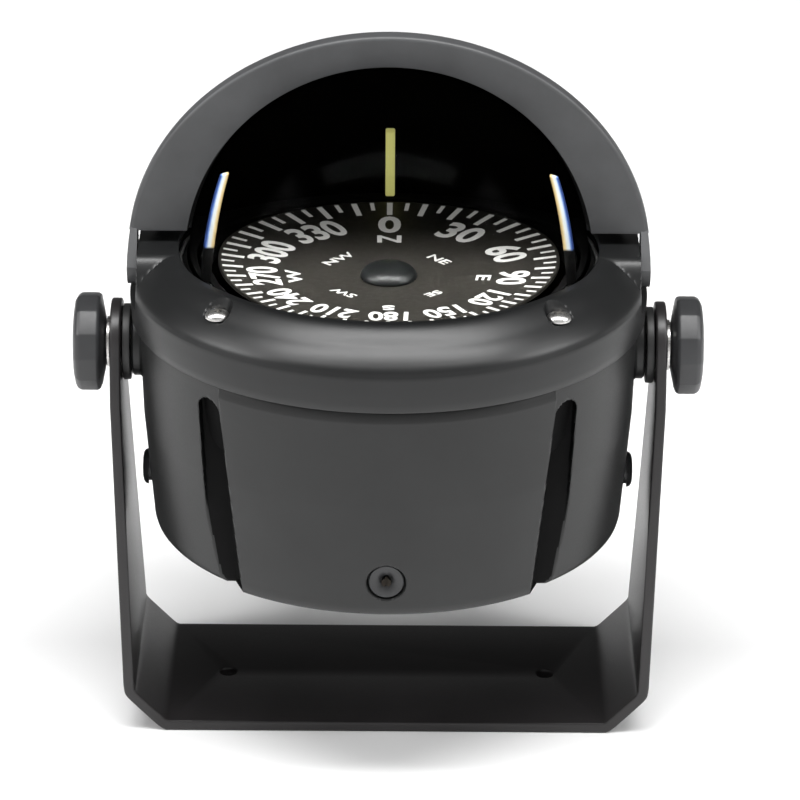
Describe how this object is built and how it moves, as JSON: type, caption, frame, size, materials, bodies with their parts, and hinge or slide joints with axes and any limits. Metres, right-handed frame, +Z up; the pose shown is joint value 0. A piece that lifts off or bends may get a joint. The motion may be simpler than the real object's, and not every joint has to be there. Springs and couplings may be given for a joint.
{
  "type": "binnacle compass",
  "caption": "Bracket-mounted marine dome compass: a tilting housing on a U bracket with side knobs, a gimballed card under a clear dome, and a swinging sun shield.",
  "frame": {"origin": "middle of the bracket's underside, on the surface it is screwed to", "axes": "+Z up through the dome, +X along the tilt axis to the viewer's right, -Y towards the viewer who reads the card"},
  "size_m": [0.1728, 0.1412, 0.1937],
  "materials": {
    "housing_plastic": "dark charcoal moulded plastic, fine satin texture",
    "bezel_plastic": "dark charcoal moulded plastic, smoother satin with a soft highlight",
    "shield_plastic": "dark grey moulded plastic, satin",
    "bracket_plastic": "near-black glass-filled plastic, satin",
    "knob_plastic": "dark grey moulded plastic, satin",
    "stainless": "bright stainless steel",
    "brass": "turned brass",
    "magnet_steel": "plated magnet steel",
    "rubber_black": "black rubber",
    "nylon_washer": "black nylon",
    "clear_acrylic": "clear polished acrylic",
    "bowl_plastic": "black plastic",
    "gimbal_plastic": "black plastic",
    "card_black": "black card with printed white marks",
    "hub_black": "black plastic, slight gloss",
    "lubber_yellow": "pale yellow-green plastic",
    "lubber_white": "white plastic",
    "jewel_ruby": "polished synthetic jewel",
    "circuit_board": "green circuit board",
    "lens_red": "clear red plastic light pipe"
  },
  "bodies": {
    "bracket": {"bracket": "bracket_plastic", "friction_washer_left": "nylon_washer", "friction_washer_right": "nylon_washer"},
    "shield": {"sun_shield": "shield_plastic"},
    "roll_ring": {"gimbal_ring": "gimbal_plastic", "roll_pin_front": "gimbal_plastic", "roll_pin_rear": "gimbal_plastic", "lubber_main": "lubber_yellow", "lubber_left": "lubber_white", "lubber_right": "lubber_white"},
    "pitch_frame": {"gimbal_frame": "gimbal_plastic", "pitch_pin_left": "stainless", "pitch_pin_right": "stainless", "counterweight": "brass", "pivot_post": "stainless"},
    "card": {"compass_card": "card_black", "card_hub": "hub_black", "jewel_cup": "jewel_ruby", "card_magnet_left": "magnet_steel", "card_magnet_right": "magnet_steel"},
    "fore_aft_compensator": {"fore_aft_shaft": "brass", "fore_aft_magnet": "magnet_steel"},
    "athwart_compensator": {"athwart_shaft": "brass", "athwart_magnet": "magnet_steel"},
    "clamp_left": {"clamp_washer_left": "stainless"},
    "clamp_right": {"clamp_washer_right": "stainless"},
    "knob_left": {"knob_left": "knob_plastic", "stud_left": "stainless"},
    "knob_right": {"knob_right": "knob_plastic", "stud_right": "stainless"},
    "housing": {"bezel": "bezel_plastic", "bezel_gasket": "rubber_black", "bezel_screw_1": "stainless", "bezel_screw_2": "stainless", "bezel_screw_3": "stainless", "bezel_screw_4": "stainless", "boss_insert_left": "brass", "boss_insert_right": "brass", "bottom_cover": "housing_plastic", "bowl": "bowl_plastic", "cable_grommet": "rubber_black", "diaphragm": "rubber_black", "diaphragm_retainer": "brass", "dome": "clear_acrylic", "dome_o_ring": "rubber_black", "front_bush": "knob_plastic", "housing_shell": "housing_plastic", "lamp_board": "circuit_board", "lamp_lens": "lens_red", "rear_bush": "knob_plastic", "shield_pin_left": "stainless", "shield_pin_right": "stainless", "side_bush_left": "knob_plastic", "side_bush_right": "knob_plastic"}
  },
  "joints": [
    {"name": "housing_tilt", "type": "hinge", "parent": "bracket", "child": "housing", "pos_m": [0, 0, 0.105], "axis": [1, 0, 0], "range_deg": [-90, 90]},
    {"name": "shield_swing", "type": "hinge", "parent": "housing", "child": "shield", "pos_m": [0, 0, 0.1296], "axis": [1, 0, 0], "range_deg": [0, 45]},
    {"name": "gimbal_roll", "type": "hinge", "parent": "housing", "child": "roll_ring", "pos_m": [0, 0, 0.123], "axis": [0, 1, 0], "range_deg": [-25, 25]},
    {"name": "gimbal_pitch", "type": "hinge", "parent": "roll_ring", "child": "pitch_frame", "pos_m": [0, 0, 0.123], "axis": [1, 0, 0], "range_deg": [-20, 20]},
    {"name": "card_spin", "type": "hinge", "parent": "pitch_frame", "child": "card", "pos_m": [0, 0, 0.123], "axis": [0, 0, 1], "continuous": true},
    {"name": "fore_aft_turn", "type": "hinge", "parent": "housing", "child": "fore_aft_compensator", "pos_m": [0, 0, 0.0643], "axis": [0, 1, 0], "continuous": true},
    {"name": "athwart_turn", "type": "hinge", "parent": "housing", "child": "athwart_compensator", "pos_m": [0, 0, 0.0673], "axis": [1, 0, 0], "continuous": true},
    {"name": "knob_left_travel", "type": "slide", "parent": "housing", "child": "clamp_left", "axis": [-1, 0, 0], "range_m": [0, 0.0021]},
    {"name": "knob_left_turn", "type": "hinge", "parent": "clamp_left", "child": "knob_left", "pos_m": [-0.0775, 0, 0.105], "axis": [-1, 0, 0], "range_deg": [0, 720]},
    {"name": "knob_right_travel", "type": "slide", "parent": "housing", "child": "clamp_right", "axis": [1, 0, 0], "range_m": [0, 0.0021]},
    {"name": "knob_right_turn", "type": "hinge", "parent": "clamp_right", "child": "knob_right", "pos_m": [0.0775, 0, 0.105], "axis": [1, 0, 0], "range_deg": [0, 720]}
  ],
  "couplings": [
    {"joint": "knob_left_travel", "follows": "knob_left_turn", "m_per_rad": 0.00015915},
    {"joint": "knob_right_travel", "follows": "knob_right_turn", "m_per_rad": 0.00015915}
  ]
}
